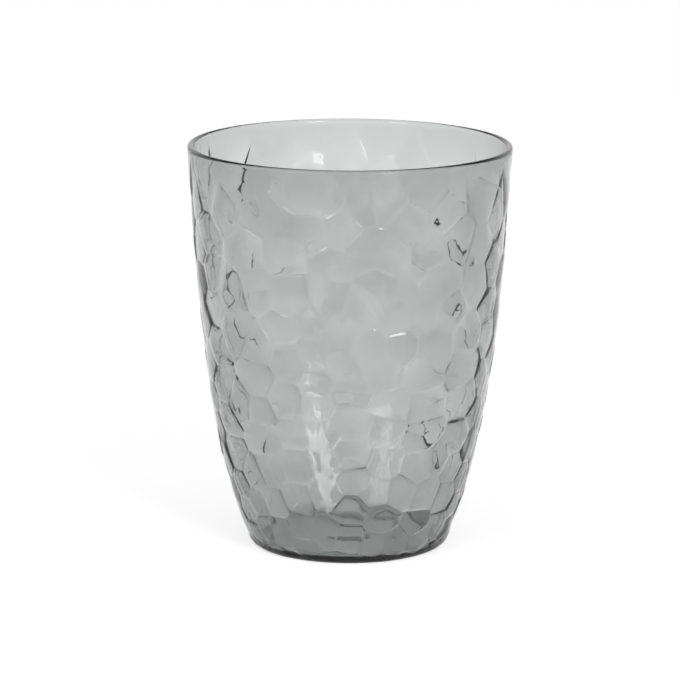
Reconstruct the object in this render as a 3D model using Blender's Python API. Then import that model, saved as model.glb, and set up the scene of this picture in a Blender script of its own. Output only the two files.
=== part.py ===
"""A drinking tumbler for the bathroom, moulded in one piece of clear smoke grey plastic.

The wall flares from a narrow foot to a wide rim along one smooth curve. Its mould is hammered
all over, so the outside is covered with low ball shaped bosses, each with a short shoulder down
to the fine grooves round it. They stand in columns round the cup, each column shifted up or
down against the next, and fade out towards a plain band under the full round rim. The inside is
smooth, and the foot is a flat ring round a shallow recess with the mark of the mould's gate in
the middle.

Units are metres, +Z is up, and the origin is the centre of the foot on the surface it stands on.
"""

import math
import random

import bmesh
import bpy
import numpy as np

# Outside of the cup
RIM_DIAMETER = 0.0840
HEIGHT = 0.1053
HEEL_DIAMETER = 0.0523
HEEL_RADIUS = 0.0022
HEEL_LEAN_DEG = 21.5
RIM_LEAN_DEG = 3.35
HEEL_PULL_SHARE = 0.283
RIM_PULL_SHARE = 0.45

# Wall, rim and floor
WALL = 0.0017
RIM_ROUND_RADIUS = 0.0008
FLOOR_THICKNESS = 0.0014
FLOOR_FILLET_RADIUS = 0.0012

# Foot
FOOT_RING_WIDTH = 0.0026
FOOT_RECESS = 0.0006
RECESS_SLOPE_WIDTH = 0.0010
GATE_MARK_DIAMETER = 0.0030
GATE_MARK_HEIGHT = 0.0003

# Hammered pattern, its lengths given at the rim's width
BAND_HEIGHT = 0.0018
BAND_FADE = 0.0110
BOSS_BALL_RADIUS = 0.0420
BOSS_RISE = 0.00010
BOSS_SPREAD = 0.00012
SHOULDER_DROP = 0.00009
BOSS_COLUMNS = 28
BOSS_ROWS = 11
BOSS_JITTER_SHARE = 0.10
BOSS_JITTER_GROWTH_SHARE = 0.10
BOSS_SEED = 7
FIRST_COLUMN_DEG = -87.5
FRONT_DEG = -90.0
LEAST_EDGE_SHARE = 0.30
HEEL_ROW_SHARE = -0.38
HEEL_TURN_SHARE = 0.5
CLEAR_SHARE = 0.66

# How far each column is shifted up, as a share of the row pitch
COLUMN_LIFT_SHARES = (
    0.13, 0.69, 0.40, 0.55, 0.05, 0.60, 0.15, 0.70, 0.10, 0.55, 0.00, 0.45, 0.95, 0.50,
    0.10, 0.62, 0.08, 0.58, 0.12, 0.66, 0.15, 0.52, 0.95, 0.40, 0.90, 0.27, 0.46, 0.63,
)

# Places of the bosses on the front: shares of a turn from the front, and of the climb to the band
FRONT_BOSS_SHARES = (
    (-0.106, 0.083), (-0.067, 0.104), (-0.030, 0.097), (0.001, 0.083), (0.037, 0.059),
    (0.074, 0.059), (0.101, 0.111), (0.048, 0.143), (-0.106, 0.188), (-0.068, 0.212),
    (-0.029, 0.233), (0.001, 0.184), (0.034, 0.236), (0.070, 0.229), (0.107, 0.209),
    (-0.101, 0.285), (-0.065, 0.309), (-0.026, 0.323), (0.006, 0.275), (0.043, 0.327),
    (0.091, 0.306), (-0.105, 0.375), (-0.065, 0.403), (-0.031, 0.403), (0.002, 0.351),
    (0.043, 0.414), (0.090, 0.389), (-0.106, 0.448), (-0.073, 0.483), (-0.036, 0.473),
    (0.000, 0.434), (0.050, 0.480), (0.088, 0.469), (-0.108, 0.528), (-0.066, 0.577),
    (-0.036, 0.532), (0.000, 0.518), (0.041, 0.553), (0.080, 0.546), (-0.107, 0.608),
    (-0.037, 0.601), (-0.007, 0.580), (0.021, 0.612), (0.054, 0.615), (0.095, 0.608),
    (-0.073, 0.653), (-0.040, 0.681), (-0.008, 0.653), (0.048, 0.695), (0.080, 0.692),
    (-0.066, 0.740), (-0.100, 0.744), (-0.018, 0.737), (0.014, 0.716), (0.031, 0.765),
    (0.066, 0.758), (0.098, 0.758), (-0.116, 0.827), (-0.071, 0.824), (-0.018, 0.813),
    (0.017, 0.845), (0.042, 0.824), (0.084, 0.831), (-0.104, 0.904), (-0.071, 0.897),
    (-0.036, 0.879), (-0.008, 0.893), (0.059, 0.897), (0.100, 0.911), (-0.115, 0.970),
    (-0.056, 0.966), (-0.024, 0.956), (0.010, 0.938), (0.036, 0.949),
)

# Fineness of the facets
CURVE_STEPS = 400
TURN_STEPS = 64
INSIDE_STEPS = 12
ROUND_STEPS = 3
RING_SHARE = 0.6
WELD_SHARE = 0.07
COINCIDENT = 1e-7
ON_RING = 1e-6

FULL_TURN = 2.0 * math.pi


def lean_vector(lean):
    """Return the direction up the wall, in radius and height, where it leans out by this angle."""
    return np.array([math.sin(lean), math.cos(lean)])


class WallCurve:
    """The wall's outside in section, from the heel's round up to the rim's round.

    A place on it is named by its climb: the length along the wall divided by the radius there,
    added up from the heel. Equal steps of climb and of angle give squares that shrink with the
    cup, so a pattern drawn in climb and angle keeps its form from the rim to the foot.
    """

    def __init__(self):
        heel_lean = math.radians(HEEL_LEAN_DEG)
        rim_lean = math.radians(RIM_LEAN_DEG)
        heel = np.array([HEEL_DIAMETER / 2, HEEL_RADIUS * (1 - math.sin(heel_lean))])
        rim = np.array([RIM_DIAMETER / 2, HEIGHT - RIM_ROUND_RADIUS * (1 + math.sin(rim_lean))])
        span = np.linalg.norm(rim - heel)
        heel_pull = heel + lean_vector(heel_lean) * span * HEEL_PULL_SHARE
        rim_pull = rim - lean_vector(rim_lean) * span * RIM_PULL_SHARE
        t = np.linspace(0, 1, CURVE_STEPS + 1)[:, None]
        points = (1 - t) ** 3 * heel + 3 * (1 - t) ** 2 * t * heel_pull
        points = points + 3 * (1 - t) * t ** 2 * rim_pull + t ** 3 * rim
        self.radii, self.heights = points.T
        steps = np.diff(points, axis=0)
        lengths = np.linalg.norm(steps, axis=1)
        middle_radii = (self.radii[1:] + self.radii[:-1]) / 2
        self.climbs = np.concatenate([[0.0], np.cumsum(lengths / middle_radii)])
        self.leans = np.arctan2(np.gradient(self.radii), np.gradient(self.heights))

    def at_height(self, height):
        """Return the climb of the outside wall at a height."""
        return float(np.interp(height, self.heights, self.climbs))

    def sunk(self, climb, depth):
        """Return radius and height of the point this deep under the outside, square to the wall."""
        radius = np.interp(climb, self.climbs, self.radii)
        height = np.interp(climb, self.climbs, self.heights)
        lean = np.interp(climb, self.climbs, self.leans)
        return float(radius - depth * np.cos(lean)), float(height + depth * np.sin(lean))

    def lean(self, climb):
        """Return the angle that the wall leans out from upright."""
        return float(np.interp(climb, self.climbs, self.leans))

    def meet(self, height, depth):
        """Return the climb at which the curve this deep under the outside reaches a height."""
        heights = self.heights + depth * np.sin(self.leans)
        return float(np.interp(height, heights, self.climbs))


class HammerPattern:
    """The bosses on the outside, each a piece of a ball that a strike left in the mould.

    Angles are in radians, and lengths are in climb, so a depth is a share of the radius. Depths
    are counted inwards from the wall's curve, which the tops of the bosses stand clear of a little.
    """

    def __init__(self, wall):
        rim_radius = RIM_DIAMETER / 2
        self.top = wall.at_height(HEIGHT - BAND_HEIGHT)
        self.ball = BOSS_BALL_RADIUS / rim_radius
        self.rise = BOSS_RISE / rim_radius
        self.spread = BOSS_SPREAD / rim_radius
        self.fade = BAND_FADE / rim_radius
        self.shoulder = SHOULDER_DROP / rim_radius
        self.column_pitch = FULL_TURN / BOSS_COLUMNS
        self.row_pitch = self.top / BOSS_ROWS
        self.angles, self.climbs, self.drops = np.array(self.bosses()).T

    def bosses(self):
        """Return angle, climb and drop of each boss.

        First come those of the front and a row whose middles lie just under the heel's edge, then
        the columns. Along a column the places are the less even the nearer they are to the rim,
        and one that is close to a boss of the front or the heel is left out.
        """
        chance = random.Random(BOSS_SEED)
        set_places = [
            (math.radians(FRONT_DEG) + turn_share * FULL_TURN, climb_share * self.top)
            for turn_share, climb_share in FRONT_BOSS_SHARES
        ]
        for column in range(BOSS_COLUMNS):
            turn = column + HEEL_TURN_SHARE + chance.uniform(-BOSS_JITTER_SHARE, BOSS_JITTER_SHARE)
            angle = math.radians(FIRST_COLUMN_DEG) + turn * self.column_pitch
            set_places.append((angle, HEEL_ROW_SHARE * self.row_pitch))
        found = [(*place, chance.uniform(0, self.spread) - self.rise) for place in set_places]
        for column in range(BOSS_COLUMNS):
            lift = COLUMN_LIFT_SHARES[column % len(COLUMN_LIFT_SHARES)]
            for row in range(BOSS_ROWS + 1):
                reach = BOSS_JITTER_SHARE + BOSS_JITTER_GROWTH_SHARE * row / BOSS_ROWS
                sideways = chance.uniform(-reach, reach)
                upwards = chance.uniform(-reach, reach)
                drop = chance.uniform(0, self.spread) - self.rise
                angle = math.radians(FIRST_COLUMN_DEG) + (column + sideways) * self.column_pitch
                climb = (row + lift + upwards) * self.row_pitch
                fits = self.top - climb > LEAST_EDGE_SHARE * self.row_pitch
                if fits and self.clear_of(set_places, angle, climb):
                    found.append((angle, climb, drop))
        return found

    def clear_of(self, places, angle, climb):
        """Return whether a place is far enough from all of some others."""
        for other_angle, other_climb in places:
            sideways = (other_angle - angle + math.pi) % FULL_TURN - math.pi
            if math.hypot(sideways, other_climb - climb) < CLEAR_SHARE * self.row_pitch:
                return False
        return True

    def presence(self, climb):
        """Return how much of the pattern's depth is left at a climb: none at the plain band."""
        room = min(max((self.top - climb) / self.fade, 0), 1)
        return room * room * (3 - 2 * room)

    def depth_at(self, angle, climb):
        """Return the depth of the bosses at a place, as a share of the radius there.

        The shoulder at a groove isn't counted.
        """
        sideways = np.remainder(self.angles - angle + math.pi, FULL_TURN) - math.pi
        upwards = self.climbs - climb
        depths = self.drops + (sideways ** 2 + upwards ** 2) / (2 * self.ball)
        return float(depths.min()) * self.presence(climb)

    def groove_depth_at(self, angle, climb):
        """Return the depth at the bottom of a groove, which the heel and the band don't have."""
        depth = self.depth_at(angle, climb)
        if COINCIDENT < climb < self.top - COINCIDENT:
            depth += self.shoulder * self.presence(climb)
        return depth

    def outline(self, index):
        """Return the corners of one boss's cell, as angle and climb, counter-clockwise.

        The cell is where this boss is the highest one, between the heel and the plain band.
        """
        reach = 2.5 * self.row_pitch
        angle, climb, drop = self.angles[index], self.climbs[index], self.drops[index]
        corners = [
            (-reach, -climb),
            (reach, -climb),
            (reach, self.top - climb),
            (-reach, self.top - climb),
        ]
        for other in range(len(self.angles)):
            sideways = (self.angles[other] - angle + math.pi) % FULL_TURN - math.pi
            upwards = self.climbs[other] - climb
            if other == index or abs(sideways) > reach or abs(upwards) > reach:
                continue
            middle = (sideways ** 2 + upwards ** 2) / 2
            limit = middle + self.ball * (self.drops[other] - drop)
            corners = keep_side(corners, (sideways, upwards), limit)
        return [(angle + corner[0], climb + corner[1]) for corner in corners]


def keep_side(corners, direction, limit):
    """Cut a convex outline along a line, and keep the side where the dot product is under the limit."""
    kept = []
    for start, end in zip(corners, corners[1:] + corners[:1]):
        start_over = start[0] * direction[0] + start[1] * direction[1] - limit
        end_over = end[0] * direction[0] + end[1] * direction[1] - limit
        if start_over <= 0:
            kept.append(start)
        if (start_over < 0 < end_over) or (end_over < 0 < start_over):
            share = start_over / (start_over - end_over)
            across = start[0] + share * (end[0] - start[0])
            along = start[1] + share * (end[1] - start[1])
            kept.append((across, along))
    return kept


class Weld:
    """Corners on the unit drum, where corners closer than a weld distance become one."""

    def __init__(self, distance):
        self.distance = distance
        self.points = np.zeros((0, 3))

    def number(self, angle, climb):
        """Return the number of the corner at this place, and add it if there is none yet."""
        point = np.array([math.cos(angle), math.sin(angle), climb])
        if len(self.points):
            gaps = np.linalg.norm(self.points - point, axis=1)
            nearest = int(gaps.argmin())
            if gaps[nearest] < self.distance:
                return nearest
        self.points = np.vstack([self.points, point])
        return len(self.points) - 1


def cell_mesh(pattern):
    """Return the cells as outlines of corner numbers, with the corners' angles and climbs.

    Very short grooves are closed up, with the corners on the pattern's two edges kept in place.
    """
    outlines = [pattern.outline(index) for index in range(len(pattern.angles))]
    weld = Weld(WELD_SHARE * pattern.row_pitch)
    for corner in (corner for outline in outlines for corner in outline):
        if not COINCIDENT < corner[1] < pattern.top - COINCIDENT:
            weld.number(*corner)
    cells = []
    for outline in outlines:
        numbers = [weld.number(*corner) for corner in outline]
        numbers = [n for n, after in zip(numbers, numbers[1:] + numbers[:1]) if n != after]
        if len(numbers) > 2:
            cells.append(numbers)
    angles = np.arctan2(weld.points[:, 1], weld.points[:, 0])
    return cells, angles, weld.points[:, 2]


def add_bossed_skin(bm, wall, pattern):
    """Add the hammered outside, and return the vertices along its heel and along the plain band.

    Each groove has a point in its middle, and each cell has a ring inside its corners and a top.
    """
    cells, angles, climbs = cell_mesh(pattern)
    places = {}

    def add(angle, climb, depth_share):
        depth = depth_share * wall.sunk(climb, 0)[0]
        radius, height = wall.sunk(climb, depth)
        vertex = bm.verts.new((radius * math.cos(angle), radius * math.sin(angle), height))
        places[vertex] = (angle, climb, depth)
        return vertex

    corners = [add(a, c, pattern.groove_depth_at(a, c)) for a, c in zip(angles, climbs)]
    middles = {}
    for cell in cells:
        start = angles[cell[0]]
        turned = [start + (angles[n] - start + math.pi) % FULL_TURN - math.pi for n in cell]
        top_angle = sum(turned) / len(cell)
        top_climb = sum(climbs[n] for n in cell) / len(cell)
        top = add(top_angle, top_climb, pattern.depth_at(top_angle, top_climb))
        ring = []
        for number, angle in zip(cell, turned):
            ring_angle = top_angle + RING_SHARE * (angle - top_angle)
            ring_climb = top_climb + RING_SHARE * (climbs[number] - top_climb)
            ring.append(add(ring_angle, ring_climb, pattern.depth_at(ring_angle, ring_climb)))
        for place, number in enumerate(cell):
            after = (place + 1) % len(cell)
            groove = (min(number, cell[after]), max(number, cell[after]))
            if groove not in middles:
                middle_angle = (turned[place] + turned[after]) / 2
                middle_climb = (climbs[number] + climbs[cell[after]]) / 2
                depth_share = pattern.groove_depth_at(middle_angle, middle_climb)
                middles[groove] = add(middle_angle, middle_climb, depth_share)
            middle = middles[groove]
            bm.faces.new((corners[number], middle, ring[place]))
            bm.faces.new((middle, corners[cell[after]], ring[after]))
            bm.faces.new((middle, ring[after], ring[place]))
            bm.faces.new((ring[place], ring[after], top))
    heel = [v for v, place in places.items() if place[1] < COINCIDENT]
    band = [v for v, place in places.items() if place[1] > pattern.top - COINCIDENT]
    return heel, band, places


def by_angle(vertices):
    """Sort vertices round the axis."""
    return sorted(vertices, key=lambda v: math.atan2(v.co.y, v.co.x))


def join_rings(bm, first, second):
    """Join two rings round the axis with triangles, whatever number of vertices each has."""
    first, second = by_angle(first), by_angle(second)

    def angle(ring, place):
        vertex = ring[place % len(ring)].co
        return math.atan2(vertex.y, vertex.x) + FULL_TURN * (place // len(ring))

    i = j = 0
    while i < len(first) or j < len(second):
        a, b = first[i % len(first)], second[j % len(second)]
        first_next = j >= len(second)
        if i < len(first) and not first_next:
            first_next = angle(first, i + 1) < angle(second, j + 1)
        if first_next:
            i += 1
            bm.faces.new((a, first[i % len(first)], b))
        else:
            j += 1
            bm.faces.new((a, second[j % len(second)], b))


def add_heel(bm, wall, heel, places):
    """Turn the wall in under itself with a round that the lowest bosses fade out on.

    Returns the vertices of the outer edge of the flat foot ring.
    """
    lean = wall.lean(0)
    centre_radius = HEEL_DIAMETER / 2 - HEEL_RADIUS * math.cos(lean)
    ring = by_angle(heel)
    marks = [places[v] for v in ring]
    for step in range(1, ROUND_STEPS + 1):
        share = step / ROUND_STEPS
        down = lean + (math.pi / 2 - lean) * share
        lower = []
        for angle, _, depth in marks:
            left = depth * (1 - share)
            radius = centre_radius + (HEEL_RADIUS - left) * math.cos(down)
            height = HEEL_RADIUS - (HEEL_RADIUS - left) * math.sin(down)
            lower.append(bm.verts.new((radius * math.cos(angle), radius * math.sin(angle), height)))
        for place in range(len(ring)):
            after = (place + 1) % len(ring)
            bm.faces.new((ring[place], lower[place], lower[after], ring[after]))
        ring = lower
    return ring


def arc(centre, radius, start, end):
    """Return points of a round in section, from one direction to another, both ends included."""
    points = []
    for step in range(ROUND_STEPS + 1):
        turn = start + (end - start) * step / ROUND_STEPS
        points.append((centre[0] + radius * math.cos(turn), centre[1] + radius * math.sin(turn)))
    return points


def turn_profile(bm, profile):
    """Turn an open profile that ends on the axis once round, and return its first ring of vertices."""
    verts = [bm.verts.new((radius, 0, height)) for radius, height in profile]
    edges = [bm.edges.new(pair) for pair in zip(verts, verts[1:])]
    bmesh.ops.spin(
        bm,
        geom=verts + edges,
        cent=(0, 0, 0),
        axis=(0, 0, 1),
        angle=FULL_TURN,
        steps=TURN_STEPS,
        use_merge=True,
    )
    poles = [v for v in bm.verts if abs(v.co.x) + abs(v.co.y) < COINCIDENT]
    bmesh.ops.remove_doubles(bm, verts=poles, dist=COINCIDENT)
    radius, height = profile[0]
    level = [v for v in bm.verts if abs(v.co.z - height) < ON_RING]
    return [v for v in level if abs(math.hypot(v.co.x, v.co.y) - radius) < ON_RING]


def rim_and_inside_profile(wall):
    """Return the section over the rounded rim, down the smooth inside and across the floor."""
    top = wall.climbs[-1]
    lean = wall.lean(top)
    inner_depth = WALL - RIM_ROUND_RADIUS
    outer_centre = wall.sunk(top, RIM_ROUND_RADIUS)
    inner_centre = wall.sunk(wall.meet(outer_centre[1], inner_depth), inner_depth)
    profile = arc(outer_centre, RIM_ROUND_RADIUS, -lean, math.pi / 2)
    profile += arc(inner_centre, RIM_ROUND_RADIUS, math.pi / 2, math.pi - lean)
    floor = FOOT_RECESS + FLOOR_THICKNESS
    fillet_climb = wall.meet(floor + FLOOR_FILLET_RADIUS, WALL + FLOOR_FILLET_RADIUS)
    fillet_centre = wall.sunk(fillet_climb, WALL + FLOOR_FILLET_RADIUS)
    start = wall.meet(profile[-1][1], WALL)
    for step in range(1, INSIDE_STEPS):
        climb = start + (fillet_climb - start) * step / INSIDE_STEPS
        profile.append(wall.sunk(climb, WALL))
    profile += arc(fillet_centre, FLOOR_FILLET_RADIUS, -wall.lean(fillet_climb), -math.pi / 2)
    profile.append((0, floor))
    return profile


def underside_profile(foot_radius):
    """Return the section from the foot ring's inner edge into the recess and to the gate mark."""
    ring_edge = foot_radius - FOOT_RING_WIDTH
    gate = GATE_MARK_DIAMETER / 2
    return [
        (ring_edge, 0),
        (ring_edge - RECESS_SLOPE_WIDTH, FOOT_RECESS),
        (gate, FOOT_RECESS),
        (gate - GATE_MARK_HEIGHT, FOOT_RECESS - GATE_MARK_HEIGHT),
        (0, FOOT_RECESS - GATE_MARK_HEIGHT),
    ]


def smoke_plastic():
    """Return the one material: clear plastic with an even smoke grey tint."""
    material = bpy.data.materials.new("smoke_clear_plastic")
    material.use_nodes = True
    shader = material.node_tree.nodes["Principled BSDF"]
    shader.inputs["Base Color"].default_value = (0.42, 0.43, 0.43, 1.0)
    shader.inputs["Roughness"].default_value = 0.04
    shader.inputs["Metallic"].default_value = 0.0
    shader.inputs["IOR"].default_value = 1.50
    shader.inputs["Transmission Weight"].default_value = 0.9
    return material


def build_tumbler():
    """Build the whole cup as one closed body."""
    wall = WallCurve()
    pattern = HammerPattern(wall)
    bm = bmesh.new()
    heel, band, places = add_bossed_skin(bm, wall, pattern)
    foot = add_heel(bm, wall, heel, places)
    foot_radius = math.hypot(foot[0].co.x, foot[0].co.y)
    rim = turn_profile(bm, rim_and_inside_profile(wall))
    recess = turn_profile(bm, underside_profile(foot_radius))
    join_rings(bm, band, rim)
    join_rings(bm, foot, recess)
    bmesh.ops.recalc_face_normals(bm, faces=bm.faces)
    mesh = bpy.data.meshes.new("tumbler_body")
    bm.to_mesh(mesh)
    bm.free()
    mesh.shade_smooth()
    mesh.set_sharp_from_angle(angle=math.radians(30))
    mesh.materials.append(smoke_plastic())
    tumbler = bpy.data.objects.new("tumbler_body", mesh)
    bpy.context.scene.collection.objects.link(tumbler)
    return tumbler


def main():
    """Empty the scene and model the tumbler."""
    for item in list(bpy.data.objects):
        bpy.data.objects.remove(item, do_unlink=True)
    build_tumbler()


if __name__ == "__main__":
    main()
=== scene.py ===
"""Looks of a hammered drinking tumbler of clear smoke grey plastic, on a white studio floor.

The cup is one moulded piece. Its mould is hammered, so the outside is covered with low bosses
that have nearly flat tops, with fine grooves between them. A Geometry Nodes tree makes it: it
takes the cells of the pattern laid out on a unit drum, raises a boss on each and rolls the drum
onto the wall's curve. The rim, the inside, the heel and the foot are turned in mesh code.
"""

import logging
import math
import random
from dataclasses import dataclass, field
from enum import Enum
from typing import Iterator, Sequence

import bmesh
import bpy
import numpy as np
from mathutils import Matrix, Vector

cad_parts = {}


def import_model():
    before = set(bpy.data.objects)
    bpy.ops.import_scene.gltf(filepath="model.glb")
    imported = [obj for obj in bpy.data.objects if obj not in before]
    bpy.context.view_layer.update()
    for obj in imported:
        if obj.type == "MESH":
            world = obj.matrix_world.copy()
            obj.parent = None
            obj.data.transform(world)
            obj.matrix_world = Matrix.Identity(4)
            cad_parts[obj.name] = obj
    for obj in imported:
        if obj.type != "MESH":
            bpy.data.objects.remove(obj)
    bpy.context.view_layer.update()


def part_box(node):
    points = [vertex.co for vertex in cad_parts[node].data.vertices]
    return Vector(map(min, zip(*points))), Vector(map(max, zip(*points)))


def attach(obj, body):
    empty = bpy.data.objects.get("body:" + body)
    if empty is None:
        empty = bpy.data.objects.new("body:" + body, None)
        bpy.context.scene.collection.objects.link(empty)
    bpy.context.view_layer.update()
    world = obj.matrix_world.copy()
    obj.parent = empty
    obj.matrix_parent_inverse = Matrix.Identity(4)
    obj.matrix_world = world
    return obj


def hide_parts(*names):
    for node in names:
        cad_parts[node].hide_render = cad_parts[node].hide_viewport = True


LOG = logging.getLogger("tumbler")

FULL_TURN = 2.0 * math.pi
COINCIDENT = 1e-7
EDGE_TOLERANCE = 1e-5
NODE_PITCH = 170
CAD_NODE = "tumbler_body"
PLASTIC_SLOT = "smoke_clear_plastic"

Point = tuple[float, float]


class Side(Enum):
    """The two sides of the studio that a soft box stands at."""

    LEFT = "left"
    RIGHT = "right"


def within_half_turn(angle: float | np.ndarray) -> float | np.ndarray:
    """Return an angle, or each of many, as the same direction within half a turn of zero."""
    return (angle + math.pi) % FULL_TURN - math.pi


def linked(name: str, data: bpy.types.ID) -> bpy.types.Object:
    """Return a new object that holds this mesh, light or camera, linked to the scene."""
    made = bpy.data.objects.new(name, data)
    bpy.context.scene.collection.objects.link(made)
    return made


@dataclass
class WallSection:
    """The wall in section: one smooth curve from the heel's round up to the rim's round.

    A place on the curve is named by its climb: the length along it divided by the radius there,
    added up from the heel. A pattern drawn in angle and climb keeps its form on the whole cup.
    """

    rim_diameter: float
    height: float
    heel_diameter: float = 0.0523
    heel_radius: float = 0.0022
    heel_lean_deg: float = 21.5
    rim_lean_deg: float = 3.35
    heel_pull_share: float = 0.283
    rim_pull_share: float = 0.45
    wall: float = 0.0017
    rim_round_radius: float = 0.0008
    curve_steps: int = 1600
    radii: np.ndarray = field(init=False)
    heights: np.ndarray = field(init=False)
    leans: np.ndarray = field(init=False)
    climbs: np.ndarray = field(init=False)

    def __post_init__(self) -> None:
        """Sample the curve between the heel and the rim."""
        heel_lean = math.radians(self.heel_lean_deg)
        rim_lean = math.radians(self.rim_lean_deg)
        heel = np.array([self.heel_diameter / 2, self.heel_radius * (1 - math.sin(heel_lean))])
        rim_height = self.height - self.rim_round_radius * (1 + math.sin(rim_lean))
        rim = np.array([self.rim_diameter / 2, rim_height])
        span = np.linalg.norm(rim - heel)
        heel_pull = heel + self.up_the_wall(heel_lean) * span * self.heel_pull_share
        rim_pull = rim - self.up_the_wall(rim_lean) * span * self.rim_pull_share
        t = np.linspace(0, 1, self.curve_steps + 1)[:, None]
        points = (1 - t) ** 3 * heel + 3 * (1 - t) ** 2 * t * heel_pull
        points = points + 3 * (1 - t) * t**2 * rim_pull + t**3 * rim
        self.radii, self.heights = points.T
        lengths = np.linalg.norm(np.diff(points, axis=0), axis=1)
        middle_radii = (self.radii[1:] + self.radii[:-1]) / 2
        self.climbs = np.concatenate([[0.0], np.cumsum(lengths / middle_radii)])
        self.leans = np.arctan2(np.gradient(self.radii), np.gradient(self.heights))

    @staticmethod
    def up_the_wall(lean: float) -> np.ndarray:
        """Return the direction up a wall that leans out by this angle, in radius and height."""
        return np.array([math.sin(lean), math.cos(lean)])

    def lean(self, climb: float) -> float:
        """Return the angle that the wall leans out from upright."""
        return float(np.interp(climb, self.climbs, self.leans))

    def climb_at(self, height: float) -> float:
        """Return the climb of the outside at a height."""
        return float(np.interp(height, self.heights, self.climbs))

    def sunk(self, climb: float, depth: float) -> Point:
        """Return the point this deep under the outside, square to the wall.

        Args:
            climb: Place along the curve.
            depth: Distance inwards, in metres.

        Returns:
            Radius and height.
        """
        radius = float(np.interp(climb, self.climbs, self.radii))
        height = float(np.interp(climb, self.climbs, self.heights))
        lean = self.lean(climb)
        return radius - depth * math.cos(lean), height + depth * math.sin(lean)

    def meet(self, height: float, depth: float) -> float:
        """Return the climb where the curve this deep under the outside reaches a height."""
        heights = self.heights + depth * np.sin(self.leans)
        return float(np.interp(height, heights, self.climbs))


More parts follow.
